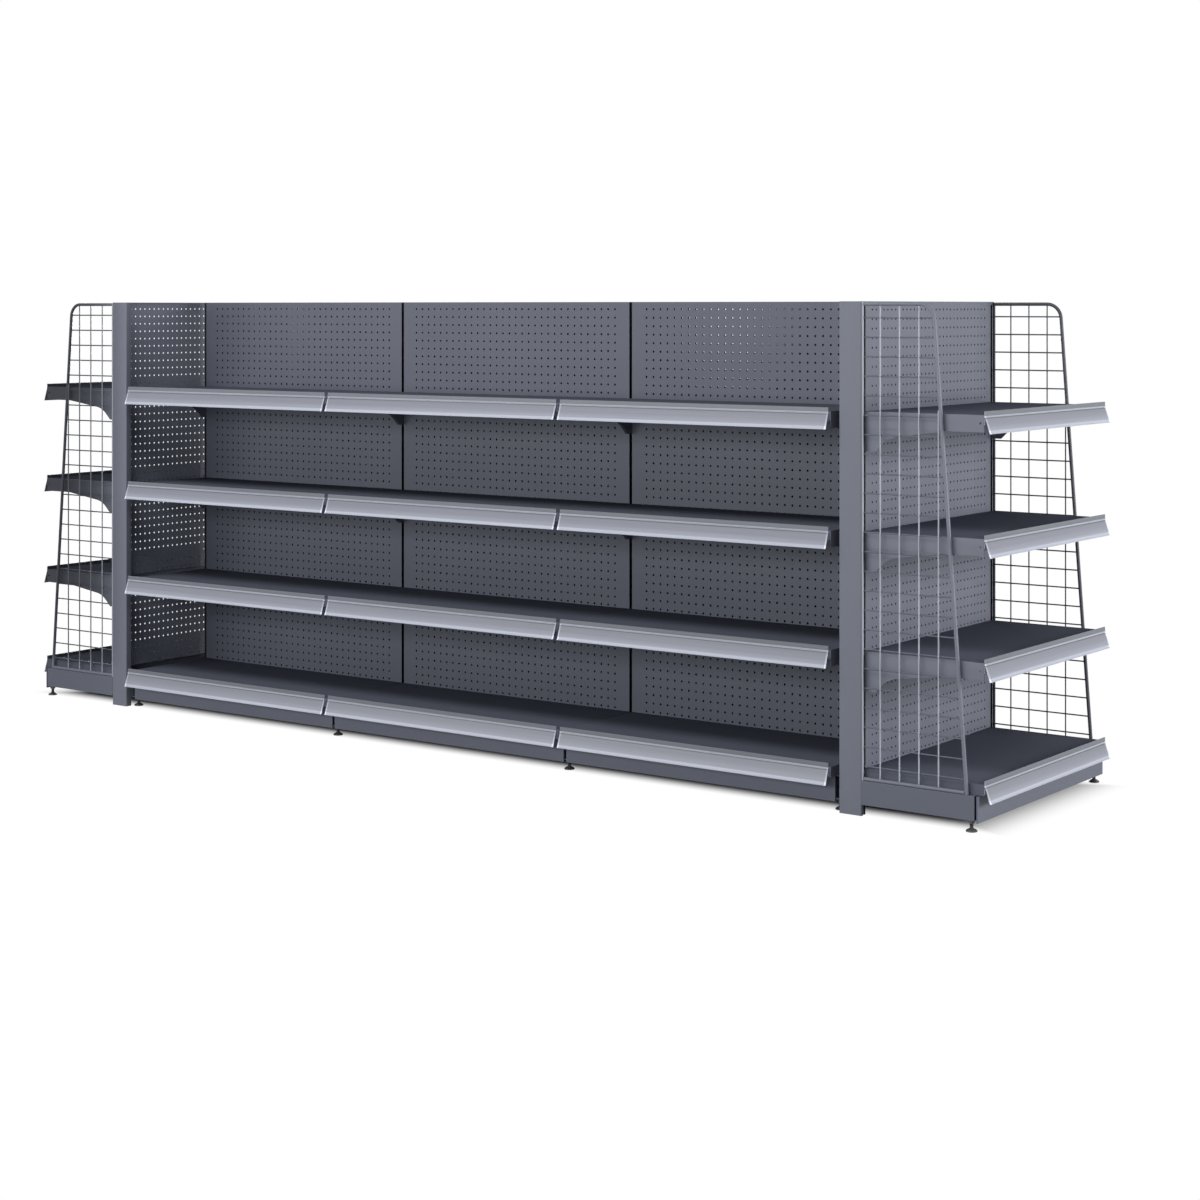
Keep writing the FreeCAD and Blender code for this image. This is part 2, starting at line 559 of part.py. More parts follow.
# Lift-off shelves: deck and rail apart at the front and the ends, together in one group at the rear
for row in range(int(number("dims.shelf_rows"))):
    level = shelf_top(row)
    for bay in range(bays):
        middle = bay_middle(bay)
        spot = f"bay{bay + 1}_shelf{row + 1}"
        nodes.append(copy_of(main_deck, f"front_{spot}_deck", middle, f"-{DECK_REAR}", level, FRONT))
        nodes.append(copy_of(main_rail, f"front_{spot}_rail", middle, f"-{DECK_FRONT}", level, FRONT))
        nodes.append(group(f"rear_{spot}", [
            copy_of(main_deck, f"rear_{spot}_deck", middle, DECK_REAR, level, REAR),
            copy_of(main_rail, f"rear_{spot}_rail", middle, DECK_FRONT, level, REAR)]))
    for end, sign, turn in (("left", "-", LEFT), ("right", "", RIGHT)):
        spot = f"{end}_end_shelf{row + 1}"
        nodes.append(copy_of(end_deck, f"{spot}_deck", f"{sign}{END_DECK_REAR}", "0", level, turn))
        nodes.append(copy_of(end_rail, f"{spot}_rail", f"{sign}{END_DECK_FRONT}", "0", level, turn))

# Mesh side panels: an upright bar, a bottom rod and a bent rod, filled with thin level and upright wires
rod = number("dims.rod_radius")
bar = number("dims.bar_radius")
weld = number("dims.weld_gap")
rod_low = number(f"{LEG_TOP} + dims.rod_radius")
rod_high = number("dims.total_height - dims.mesh_top_gap - dims.rod_radius")
corner = FreeCAD.Vector(number("dims.mesh_top_depth"), 0, rod_high)
heel = FreeCAD.Vector(number(f"{END_LEG_LENGTH} - dims.mesh_foot_setback"), 0, rod_low)
fall = (heel - corner).normalize()
turn_angle = math.acos(-fall.x)
tangent = number("dims.mesh_bend_radius") / math.tan(turn_angle / 2)
bend_start = corner - FreeCAD.Vector(tangent, 0, 0)
bend_stop = corner + fall * tangent
bisector = (FreeCAD.Vector(-1, 0, 0) + fall).normalize()
bend_middle = corner + bisector * (number("dims.mesh_bend_radius") * (1 / math.sin(turn_angle / 2) - 1))
rod_start = FreeCAD.Vector(2 * bar + weld, 0, rod_high)
rod_stop = heel + fall * (rod * (1 - fall.x) / -fall.z)
bent_path = Part.makePolygon([rod_start, bend_start, bend_middle, bend_stop, rod_stop])
RIGHT_CORNERS = 1
rod_sides = int(number("dims.small_sides"))
spokes = [2 * math.pi * index / rod_sides for index in range(rod_sides + 1)]
bent_section = Part.makePolygon([rod_start + FreeCAD.Vector(0, rod * math.sin(spoke), rod * math.cos(spoke))
                                 for spoke in spokes])
bent_rod = doc.addObject("Part::Feature", "mesh_bent_rod")
bent_rod.Shape = bent_path.makePipeShell([bent_section], True, False, RIGHT_CORNERS)


def slope_depth(height):
    return heel.x + fall.x / fall.z * (height - heel.z)


slope_side = rod / -fall.z + weld
upright_bar = prism("mesh_upright_bar", "dims.small_sides", "dims.bar_radius",
                    f"dims.total_height - dims.mesh_top_gap - {LEG_TOP}")
place(upright_bar, "dims.bar_radius", "0", LEG_TOP)
bottom_rod = prism("mesh_bottom_rod", "dims.small_sides", "dims.rod_radius",
                   str(slope_depth(rod_low + rod) - slope_side - 2 * bar - weld))
place(bottom_rod, "2 * dims.bar_radius + dims.weld_gap", "0", f"{LEG_TOP} + dims.rod_radius", 90, (0, 1, 0))
mesh_parts = [upright_bar, bottom_rod, bent_rod]
for row in range(int(number("dims.mesh_rows"))):
    level = f"{LEG_TOP} + dims.rod_radius + dims.mesh_row_first + {row} * dims.mesh_row_pitch"
    length = slope_depth(number(level) + number("dims.wire_radius")) - slope_side - 2 * bar - weld
    wire = prism(f"mesh_level_wire_{row + 1}", "dims.wire_sides", "dims.wire_radius", str(length))
    place(wire, "2 * dims.bar_radius + dims.weld_gap", "dims.wire_radius", level, 90, (0, 1, 0))
    mesh_parts.append(wire)
for column in range(int(number("dims.mesh_columns"))):
    depth = f"dims.mesh_column_first + {column} * dims.mesh_column_pitch"
    outer = number(depth) + number("dims.wire_radius") + slope_side
    slope_height = heel.z + (outer - heel.x) * fall.z / fall.x
    length = min(slope_height, rod_high - rod - weld) - rod_low - rod - weld
    wire = prism(f"mesh_upright_wire_{column + 1}", "dims.wire_sides", "dims.wire_radius", str(length))
    place(wire, depth, "-dims.wire_radius", f"{LEG_TOP} + 2 * dims.rod_radius + dims.weld_gap")
    mesh_parts.append(wire)
mesh = group("mesh", mesh_parts)
far_mesh = mirrored(mesh, "far_mesh")
mesh_line = "(dims.end_frame_width / 2 - dims.mesh_inset)"
nodes.append(group("side_mesh_panels", [
    copy_of(mesh, "mesh_right_front", POST_FACE, f"-{mesh_line}", "0", RIGHT),
    copy_of(far_mesh, "mesh_right_rear", POST_FACE, mesh_line, "0", RIGHT),
    copy_of(far_mesh, "mesh_left_front", f"-{POST_FACE}", f"-{mesh_line}", "0", LEFT),
    copy_of(mesh, "mesh_left_rear", f"-{POST_FACE}", mesh_line, "0", LEFT)]))

doc.recompute()
for item in doc.Objects:
    if "Invalid" in item.State or "Error" in item.State:
        raise RuntimeError(f"{item.Label}: {item.State}")
for node in nodes:
    shape = Part.getShape(node)
    if shape.isNull() or not shape.isValid():
        raise RuntimeError(f"{node.Label}: shape is empty or not valid")
    shape.exportStep(f"parts/{node.Label}.step")
    print(node.Label, len(shape.Solids), round(shape.Volume), shape.BoundBox)
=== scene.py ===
import math

import bmesh
import bpy
from mathutils import Matrix, Vector


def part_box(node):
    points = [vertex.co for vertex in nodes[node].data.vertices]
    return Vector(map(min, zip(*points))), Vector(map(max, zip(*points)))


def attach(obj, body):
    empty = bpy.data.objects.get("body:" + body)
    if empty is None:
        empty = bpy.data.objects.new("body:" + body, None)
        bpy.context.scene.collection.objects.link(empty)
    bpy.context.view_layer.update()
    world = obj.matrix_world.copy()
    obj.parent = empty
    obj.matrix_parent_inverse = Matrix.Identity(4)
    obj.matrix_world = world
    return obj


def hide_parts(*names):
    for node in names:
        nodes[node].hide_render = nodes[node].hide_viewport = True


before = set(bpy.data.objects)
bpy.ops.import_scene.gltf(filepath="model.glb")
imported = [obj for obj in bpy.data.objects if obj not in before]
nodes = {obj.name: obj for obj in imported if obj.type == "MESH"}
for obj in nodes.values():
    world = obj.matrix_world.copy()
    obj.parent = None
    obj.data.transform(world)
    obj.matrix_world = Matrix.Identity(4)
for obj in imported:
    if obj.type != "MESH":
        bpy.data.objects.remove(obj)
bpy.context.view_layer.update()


# Main uprights and kick plates: slotted steel tubes, standing along the middle of the run and painted
# near-black as a painted shade for the gaps between the panels, and folded steel plates that close the base
# in front of the legs. The plates have a slate-grey powder coat with a fine sandy grain, sprayed on after
# folding.
class Socket:
    """An output of a node tree. Sums and products of sockets add Math nodes to the tree."""

    def __init__(self, tree, output=None):
        self.tree = tree
        self.output = output

    def node(self, kind, output=0, settings=(), values=(), **inputs):
        """A new node. Settings come first, then values for its sockets in order and inputs by socket name."""
        made = self.tree.nodes.new(kind)
        for name, value in settings:
            if name == "stops":
                self.set_stops(made.color_ramp.elements, value)
            else:
                setattr(made, name, value)
        targets = list(zip(made.inputs, values))
        targets += [(made.inputs[name.replace("_", " ")], value) for name, value in inputs.items()]
        for target, value in targets:
            for item in value if isinstance(value, list) else [value]:
                if isinstance(item, Socket):
                    self.tree.links.new(item.output, target)
                else:
                    target.default_value = item
        return Socket(self.tree, made.outputs[output] if len(made.outputs) else None)

    def set_stops(self, stops, levels):
        """The grey levels (place, level) of a ramp, which starts with two stops."""
        for number, (spot, level) in enumerate(levels):
            stop = stops[number] if number < 2 else stops.new(spot)
            stop.position = spot
            stop.color = (level, level, level, 1)

    def math(self, operation, first, second):
        return self.node("ShaderNodeMath", settings=[("operation", operation)], values=(first, second))

    def __add__(self, other):
        return self.math("ADD", self, other)

    def __radd__(self, other):
        return self.math("ADD", other, self)

    def __sub__(self, other):
        return self.math("SUBTRACT", self, other)

    def __rsub__(self, other):
        return self.math("SUBTRACT", other, self)

    def __mul__(self, other):
        return self.math("MULTIPLY", self, other)

    def __rmul__(self, other):
        return self.math("MULTIPLY", other, self)

    def __truediv__(self, other):
        return self.math("DIVIDE", self, other)

    def __gt__(self, other):
        return self.math("GREATER_THAN", self, other)


def new_material(name):
    """An empty material and its node tree."""
    material = bpy.data.materials.new(name)
    material.use_nodes = True
    material.node_tree.nodes.clear()
    return material, Socket(material.node_tree)


def tinted(colour, shade):
    """That colour, made lighter or darker by a shade that changes over the surface."""
    red, green, blue = [part * shade for part in colour]
    return shade.node("ShaderNodeCombineColor", "Color", Red=red, Green=green, Blue=blue)


def coat(name, colour, clouds=0.12, grain_scale=700.0, grain_height=0.0003, roughness=0.48, shine=0.25,
         rear=1.0):
    """A coat with soft clouds and a fine grain. On the rear side of the run its colour is scaled by rear, a
    painted shade.
    """
    material, tree = new_material(name)
    place = tree.node("ShaderNodeTexCoord", "Object")
    cloud = tree.node("ShaderNodeTexNoise", "Fac", Vector=place, Scale=3.0, Detail=4.0)
    grain = tree.node("ShaderNodeTexNoise", "Fac", Vector=place, Scale=grain_scale, Detail=2.0)
    # Painted shade: on the rear side of the run, Y above 0, the colour is scaled down by rear.
    behind = tree.node("ShaderNodeSeparateXYZ", "Y", Vector=place) > 0.0
    shade = ((1.0 - clouds / 2) + clouds * cloud) * (1.0 - (1.0 - rear) * behind)
    relief = tree.node("ShaderNodeBump", "Normal", Strength=0.25, Distance=grain_height, Height=grain)
    swing = 0.1
    surface = tree.node("ShaderNodeBsdfPrincipled", "BSDF", Base_Color=tinted(colour, shade), Normal=relief,
                        Roughness=roughness - swing / 2 + swing * grain, Specular_IOR_Level=shine)
    tree.node("ShaderNodeOutputMaterial", Surface=surface)
    return material


powder_coat = coat("slate_powder_coat", (0.090, 0.099, 0.128))
# Painted shade: a near-black coat for the uprights, the slits of the posts, the outer leg ends and the backs
# of most sheets, where shade falls.
painted_shade_black = coat("painted_shade_black", (0.005, 0.005, 0.007), clouds=0.2, grain_scale=500.0, grain_height=0.0001,
                    roughness=0.7)
for name, finish in (("main_uprights", painted_shade_black), ("kick_plates", powder_coat)):
    nodes[name].data.materials.clear()
    nodes[name].data.materials.append(finish)


# End posts: wide steel sections that stand on the floor at the four corners of the run.
# Folded with rounded edges, with a slit down the outer face that the bracket hooks go into. The slit's walls
# are painted black, a painted shade.
def rounded(corners, steps):
    """The outline through corners (x, y, radius), with an arc at each corner that has a radius."""
    line = []
    for index, (x, y, radius) in enumerate(corners):
        here = Vector((x, y))
        if not radius:
            line.append(here)
            continue
        back = (Vector(corners[index - 1][:2]) - here).normalized()
        ahead = (Vector(corners[(index + 1) % len(corners)][:2]) - here).normalized()
        half = back.angle(ahead) / 2
        middle = here + (back + ahead).normalized() * (radius / math.sin(half))
        first = here + back * (radius / math.tan(half)) - middle
        last = here + ahead * (radius / math.tan(half)) - middle
        line += [middle + radius * first.slerp(last, step / steps).normalized() for step in range(steps + 1)]
    return line


def extrude(bm, outline, low, high, place, painted_shade_sides=()):
    """A bar of that outline from low to high, whose listed sides get the second material, as a painted shade.

    place makes a point of (u, v, height).
    """
    rings = [[bm.verts.new(place(u, v, height)) for u, v in outline] for height in (low, high)]
    bm.faces.new(reversed(rings[0]))
    bm.faces.new(rings[1])
    for index in range(len(outline)):
        following = (index + 1) % len(outline)
        face = bm.faces.new((rings[0][index], rings[0][following], rings[1][following], rings[1][index]))
        face.material_index = 1 if index in painted_shade_sides else 0


def finished(bm, name, *materials):
    """A mesh with outward normals, smooth up to a sharp edge, and those materials."""
    sharp_angle = math.radians(32)
    bmesh.ops.recalc_face_normals(bm, faces=bm.faces)
    mesh = bpy.data.meshes.new(name)
    bm.to_mesh(mesh)
    bm.free()
    for material in materials:
        mesh.materials.append(material)
    mesh.shade_smooth()
    mesh.set_sharp_from_angle(angle=sharp_angle)
    return mesh


def fitted(name, mesh, body, slot, *stands_for):
    """A finished piece that rides on a body and stands for CAD nodes."""
    piece = bpy.data.objects.new(name, mesh)
    bpy.context.collection.objects.link(piece)
    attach(piece, body)
    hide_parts(*stands_for)


post_low, post_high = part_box("end_posts")
post_width, post_depth, post_fold, post_fold_steps = 0.0665, 0.023, 0.002, 4
slit_near, slit_far, slit_deep, slit_top = 0.0012, 0.0115, 0.014, 0.0095
whole = rounded([(0, 0, post_fold), (post_width, 0, post_fold / 2), (post_width, post_depth, post_fold),
                 (0, post_depth, post_fold)], post_fold_steps)
slit_floor = post_width - slit_deep
slit = [Vector((post_width, slit_near)), Vector((slit_floor, slit_near)), Vector((slit_floor, slit_far)),
        Vector((post_width, slit_far))]
slit_start = 2 * (post_fold_steps + 1)
slit_sides = range(slit_start, slit_start + len(slit) - 1)
slotted = whole[:slit_start] + slit + whole[slit_start:]
run_corners = [(along, across) for along in (1, -1) for across in (1, -1)]
bm = bmesh.new()
for along, across in run_corners:
    def stand(u, v, height):
        return along * (post_high.x - post_width + u), across * (post_high.y - post_depth + v), height

    # Painted shade: the slit's walls get the second, near-black coat.
    extrude(bm, slotted, post_low.z, post_high.z - slit_top, stand, slit_sides)
    extrude(bm, whole, post_high.z - slit_top, post_high.z, stand)
# The post coat is the posts' own coat. On the end sheets and the end deck cheeks it is a painted light.
post_coat_and_painted_light = coat("post_powder_coat_and_painted_light", (0.119, 0.129, 0.162))
posts = finished(bm, "folded_end_posts", post_coat_and_painted_light, painted_shade_black)
fitted("folded_end_posts", posts, "frame", "powder_coat", "end_posts")


# Base legs: folded steel channels that stand out from the uprights and the end posts, open at the outer end.
# The kick plates clip on in front of those ends with a narrow gap.
def merged_copy(source):
    """A copy of a CAD mesh whose loose triangles are joined to whole flat faces."""
    bm = bmesh.new()
    bm.from_mesh(nodes[source].data)
    bmesh.ops.remove_doubles(bm, verts=bm.verts, dist=1e-5)
    bmesh.ops.dissolve_limit(bm, angle_limit=0.01, verts=bm.verts, edges=bm.edges)
    return bm


def round_rim(bm, top, radius, segments, shortest=0.0):
    """Round the sharp edges at height top that are longer than shortest, as a fold is."""
    sharp, level = 1.0, 1e-5
    rim = [edge for edge in bm.edges
           if edge.is_manifold and edge.calc_face_angle() > sharp and edge.calc_length() > shortest
           and all(top - vertex.co.z < level for vertex in edge.verts)]
    bmesh.ops.bevel(bm, geom=rim, offset=radius, segments=segments, profile=0.5, affect="EDGES")


leg_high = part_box("base_legs")[1]
leg_gap, leg_fold, leg_fold_steps = 0.0045, 0.0015, 3
shortest_leg_fold, end_reach = 0.2, 1e-4
bm = merged_copy("base_legs")
ends = [vertex for vertex in bm.verts if leg_high.x - abs(vertex.co.x) < end_reach]
for vertex in ends:
    vertex.co.x -= math.copysign(leg_gap, vertex.co.x)
# Painted shade: the faces at the outer ends, where the channel is open, get the near-black coat.
for face in bm.faces:
    face.material_index = 1 if all(vertex in ends for vertex in face.verts) else 0
round_rim(bm, leg_high.z, leg_fold, leg_fold_steps, shortest_leg_fold)
legs = finished(bm, "folded_base_legs", powder_coat, painted_shade_black)
fitted("folded_base_legs", legs, "frame", "powder_coat", "base_legs")


# Levelling feet: black moulded pads with a domed top on a threaded stud, screwed up into every leg.
# A hexagon collar under the leg turns the stud.
def turned(bm, outline, middle, sides):
    """A solid turned about the upright line through middle, from an outline (radius, height)."""
    rings = []
    for radius, height in outline:
        angles = [2 * math.pi * side / sides for side in range(sides if radius else 1)]
        spots = [Vector((radius * math.cos(angle), radius * math.sin(angle), height)) for angle in angles]
        rings.append([bm.verts.new(middle + spot) for spot in spots])
    for lower, upper in zip(rings, rings[1:]):
        for side in range(sides):
            following = side + 1
            corners = [lower[side % len(lower)], lower[following % len(lower)],
                       upper[following % len(upper)], upper[side % len(upper)]]
            bm.faces.new(list(dict.fromkeys(corners)))


foot_material, tree = new_material("foot_plastic")
place = tree.node("ShaderNodeTexCoord", "Object")
mottle = tree.node("ShaderNodeTexNoise", "Fac", Vector=place, Scale=250.0, Detail=2.0)
surface = tree.node("ShaderNodeBsdfPrincipled", "BSDF", Roughness=0.35 + 0.15 * mottle,
                    Base_Color=tinted((1.0, 1.0, 1.1), 0.030 + 0.020 * mottle))
tree.node("ShaderNodeOutputMaterial", Surface=surface)
pad_radius, pad_edge, foot_sides = 0.015, 0.0005, 28
stud_radius, thread_low, thread_pitch, thread_depth = 0.005, 0.0095, 0.00125, 0.0007
collar_radius, collar_edge, collar_low, collar_high = 0.009, 0.001, 0.022, 0.030
dome = [(0.0, 0.0), (pad_radius - pad_edge, 0.0), (pad_radius, 0.0006), (pad_radius, 0.0025),
        (0.0135, 0.0045), (0.0105, 0.0062), (0.0075, 0.0076), (0.0060, 0.0090)]
thread = []
for ridge in range(int((collar_low - thread_low) / thread_pitch)):
    thread.append((stud_radius, thread_low + ridge * thread_pitch))
    thread.append((stud_radius - thread_depth, thread_low + (ridge + 0.5) * thread_pitch))
hexagon = [math.pi / 3 * index for index in range(6)]
collar = rounded([(collar_radius * math.cos(side), collar_radius * math.sin(side), collar_edge)
                  for side in hexagon], steps=2)
for name in [name for name in nodes if name.startswith("foot_")]:
    low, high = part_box(name)
    middle = Vector(((low.x + high.x) / 2, (low.y + high.y) / 2, low.z))
    stud_top = high.z - low.z
    outline = dome + thread + [(stud_radius, collar_low), (stud_radius, stud_top), (0.0, stud_top)]
    bm = bmesh.new()
    turned(bm, outline, middle, foot_sides)
    extrude(bm, collar, collar_low, collar_high, lambda u, v, height: middle + Vector((u, v, height)))
    mesh = finished(bm, f"{name}_round", foot_material)
    fitted(f"{name}_round", mesh, name, "foot_plastic", name)


# Perforated panels: steel sheet punched with round holes and folded back along its four edges.
# Four stand on each other in every bay, front and rear, and in each end frame. They hook on the uprights.
def geometry_tree(name, *inputs):
    """A tree that takes Geometry and those inputs, its input sockets by name, and the maker of its nodes."""
    tree = bpy.data.node_groups.new(name, "GeometryNodeTree")
    for label, kind in (("Geometry", "Geometry"), *inputs):
        tree.interface.new_socket(name=label, in_out="INPUT", socket_type=f"NodeSocket{kind}")
    tree.interface.new_socket(name="Geometry", in_out="OUTPUT", socket_type="NodeSocketGeometry")
    entry = tree.nodes.new("NodeGroupInput")
    given = {socket.name: Socket(tree, socket) for socket in entry.outputs if socket.name}
    return tree, given, Socket(tree).node


def set_out(given, piece):
    """Copies of a piece on the given points, each at its own turn about Z, with the given material."""
    make = piece.node
    turn = make("GeometryNodeInputNamedAttribute", "Attribute", [("data_type", "FLOAT")], Name="turn")
    turn = make("FunctionNodeEulerToRotation", Euler=make("ShaderNodeCombineXYZ", Z=turn))
    copies = make("GeometryNodeInstanceOnPoints", Points=given["Geometry"], Instance=piece, Rotation=turn)
    copies = make("GeometryNodeRealizeInstances", Geometry=copies)
    return make("GeometryNodeSetMaterial", Geometry=copies, Material=given["Material"])


def sheet_tree():
    """A folded pan of punched sheet. Its rear, hole walls and side folds get the inner material."""
    tree, given, make = geometry_tree(
        "perforated_sheet", ("Columns", "Int"), ("Rows", "Int"), ("Column Pitch", "Float"),
        ("Row Pitch", "Float"), ("Bottom Margin", "Float"), ("Hole Radius", "Float"), ("Width", "Float"),
        ("Height", "Float"), ("Fold", "Float"), ("Sheet", "Float"), ("Material", "Material"),
        ("Inner Material", "Material"))
    span = (given["Columns"] - 1) * given["Column Pitch"]
    rise = (given["Rows"] - 1) * given["Row Pitch"]
    spots = make("GeometryNodeMeshGrid", "Mesh", Size_X=span, Size_Y=rise, Vertices_X=given["Columns"],
                 Vertices_Y=given["Rows"])
    spots = make("GeometryNodeTransform", Geometry=spots,
                 Translation=make("ShaderNodeCombineXYZ", Y=given["Bottom Margin"] + rise / 2))
    ring = make("GeometryNodeCurvePrimitiveCircle", "Curve", Resolution=8, Radius=given["Hole Radius"])
    holes = make("GeometryNodeInstanceOnPoints", Points=spots, Instance=ring)
    holes = make("GeometryNodeRealizeInstances", Geometry=holes)
    outline = make("GeometryNodeCurvePrimitiveQuadrilateral", Width=given["Width"], Height=given["Height"])
    outline = make("GeometryNodeTransform", Geometry=outline,
                   Translation=make("ShaderNodeCombineXYZ", Y=given["Height"] / 2))
    curves = make("GeometryNodeJoinGeometry", Geometry=[outline, holes])
    skin = make("GeometryNodeFillCurve", Curve=curves)
    rear = make("GeometryNodeTransform", Geometry=skin,
                Translation=make("ShaderNodeCombineXYZ", Z=0 - given["Sheet"]))
    skin = make("GeometryNodeExtrudeMesh", "Mesh", Mesh=rear, Offset_Scale=given["Sheet"], Individual=False)
    skin = make("GeometryNodeJoinGeometry", Geometry=[skin, make("GeometryNodeFlipFaces", Mesh=rear)])
    folds = make("GeometryNodeCurveToMesh", Curve=outline)
    folds = make("GeometryNodeExtrudeMesh", "Mesh", [("mode", "EDGES")], Mesh=folds,
                 Offset=make("ShaderNodeCombineXYZ", Z=-1.0), Offset_Scale=given["Fold"])
    normal = make("GeometryNodeInputNormal", "Normal")
    across = make("ShaderNodeSeparateXYZ", "X", Vector=normal)
    outward = make("ShaderNodeSeparateXYZ", "Z", Vector=normal)
    marks = [("data_type", "BOOLEAN"), ("domain", "FACE")]
    skin = make("GeometryNodeStoreNamedAttribute", "Geometry", marks, Geometry=skin, Name="hidden",
                Value=0.5 - outward > 0.0)
    folds = make("GeometryNodeStoreNamedAttribute", "Geometry", marks, Geometry=folds, Name="hidden",
                 Value=across * across > 0.5)
    pan = make("GeometryNodeJoinGeometry", Geometry=[skin, folds])
    pan = make("GeometryNodeTransform", Geometry=pan, Rotation=(math.pi / 2, 0, 0))
    pans = set_out(given, pan)
    hidden = make("GeometryNodeInputNamedAttribute", "Attribute", [("data_type", "BOOLEAN")], Name="hidden")
    pans = make("GeometryNodeSetMaterial", Geometry=pans, Selection=hidden, Material=given["Inner Material"])
    make("NodeGroupOutput", values=[pans])
    return tree


def spot_mesh(name, spots):
    """Loose points (x, y, z, turn), which carry their turn about Z as an attribute."""
    base = bpy.data.meshes.new(name)
    base.from_pydata([spot[:3] for spot in spots], [], [])
    turns = base.attributes.new("turn", "FLOAT", "POINT")
    turns.data.foreach_set("value", [spot[3] for spot in spots])
    return base


def grown(name, mesh, tree, values):
    """The plain mesh that a node tree makes from a base mesh."""
    base = bpy.data.objects.new(f"{name}_base", mesh)
    bpy.context.collection.objects.link(base)
    modifier = base.modifiers.new("build", "NODES")
    modifier.node_group = tree
    names = {item.name: item.identifier for item in tree.interface.items_tree if item.in_out == "INPUT"}
    for key, value in values.items():
        modifier[names[key]] = value
    base.update_tag()
    bpy.context.view_layer.update()
    result = bpy.data.meshes.new_from_object(base.evaluated_get(bpy.context.evaluated_depsgraph_get()))
    result.name = name
    bpy.data.objects.remove(base)
    return result


panel_low, panel_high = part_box("perforated_panels")
upright_low, upright_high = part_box("main_uprights")
panel_rows, panel_fold, panel_gap = 4, 0.011, 0.010
panel_height = (panel_high.z - panel_low.z) / panel_rows
bays = (1, 2, 3)
bay_middles = []
for bay in bays:
    low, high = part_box(f"front_bay{bay}_shelf1_deck")
    bay_middles.append((low.x + high.x) / 2)
bay_width = bay_middles[1] - bay_middles[0]
front_spots = [(middle, upright_low.y - panel_fold, 0.0) for middle in bay_middles]
rear_spots = [(middle, upright_high.y + panel_fold, math.pi) for middle in bay_middles]
right_spots = [(panel_high.x, 0.0, math.pi / 2)]
left_spots = [(panel_low.x, 0.0, -math.pi / 2)]
panel_coat = coat("panel_powder_coat", (0.081, 0.0885, 0.115), clouds=0.18)
# Painted light: the inner coat, about twice as light as the panel coat, lights the inner face of the left end
# sheet.
inner_painted_light_coat = coat("inner_coat_painted_light", (0.175, 0.192, 0.240), roughness=0.5)
perforation = {"Columns": 32, "Rows": 12, "Row Pitch": 0.02522, "Bottom Margin": 0.0078,
               "Height": panel_height, "Fold": panel_fold}
# Painted shade: the backs, hole walls and side folds of the front, rear and right sheets get the near-black
# coat.
front_sheet = {**perforation, "Column Pitch": 0.0253, "Width": bay_width - panel_gap, "Sheet": 0.0042,
               "Hole Radius": 0.0034, "Material": panel_coat, "Inner Material": painted_shade_black}
rear_sheet = {**front_sheet, "Sheet": 0.0024, "Hole Radius": 0.0027}
# Painted light: the end sheets take the lighter post coat on their faces, lighter than the front and rear
# panels.
right_sheet = {**perforation, "Column Pitch": 0.0212, "Width": panel_high.y - panel_low.y, "Sheet": 0.004,
               "Hole Radius": 0.0030, "Material": post_coat_and_painted_light, "Inner Material": painted_shade_black}
left_sheet = {**right_sheet, "Sheet": 0.0014, "Inner Material": inner_painted_light_coat}
perforated = sheet_tree()
for name, spots, sheet in (("front_perforated_panels", front_spots, front_sheet),
                           ("rear_perforated_panels", rear_spots, rear_sheet),
                           ("right_perforated_panels", right_spots, right_sheet),
                           ("left_perforated_panels", left_spots, left_sheet)):
    places = [(x, y, panel_low.z + row * panel_height, turn)
              for row in range(panel_rows) for x, y, turn in spots]
    mesh = grown(name, spot_mesh(name, places), perforated, sheet)
    fitted(name, mesh, "frame", "powder_coat", "perforated_panels")


# Decks: steel sheet folded down on all four sides, with a channel welded under the middle.
# Shelf decks lift off their brackets, base decks lie on the legs.
def softened(source, name, turn=Matrix.Identity(4), painted_light_cheeks=False):
    """A copy of a CAD deck with a rounded rim. With the cheek flag set, the sides across Y take the lighter
    post coat as painted light.
    """
    deck_fold, deck_fold_steps, sideways = 0.002, 4, 0.7
    bm = merged_copy(source)
    round_rim(bm, max(vertex.co.z for vertex in bm.verts), deck_fold, deck_fold_steps)
    bm.transform(turn)
    bm.normal_update()
    # Painted light: with the cheek flag set, the faces across Y get the lighter post coat.
    for face in bm.faces:
        face.material_index = 1 if painted_light_cheeks and abs(face.normal.y) > sideways else 0
    return finished(bm, name, deck_coat, post_coat_and_painted_light)


deck_coat = coat("deck_powder_coat", (0.092, 0.101, 0.130), roughness=0.6, shine=0.0)
half_turn = Matrix.Rotation(math.pi, 4, "Z")
shelf_rows = (1, 2, 3)
fitted("folded_base_decks", softened("base_decks", "folded_base_decks"), "frame", "powder_coat", "base_decks")
for row in shelf_rows:
    for bay in bays:
        body = f"front_bay{bay}_shelf{row}"
        mesh = softened(f"{body}_deck", f"{body}_folded")
        fitted(f"{body}_folded", mesh, body, "powder_coat", f"{body}_deck")
        body = f"rear_bay{bay}_shelf{row}"
        opposite = len(bays) + 1 - bay
        mesh = softened(f"front_bay{opposite}_shelf{row}_deck", f"{body}_folded", half_turn)
        fitted(f"{body}_folded", mesh, body, "powder_coat", body)
    for end in ("left", "right"):
        body = f"{end}_end_shelf{row}"
        mesh = softened(f"{body}_deck", f"{body}_folded", painted_light_cheeks=True)
        fitted(f"{body}_folded", mesh, body, "powder_coat", f"{body}_deck")


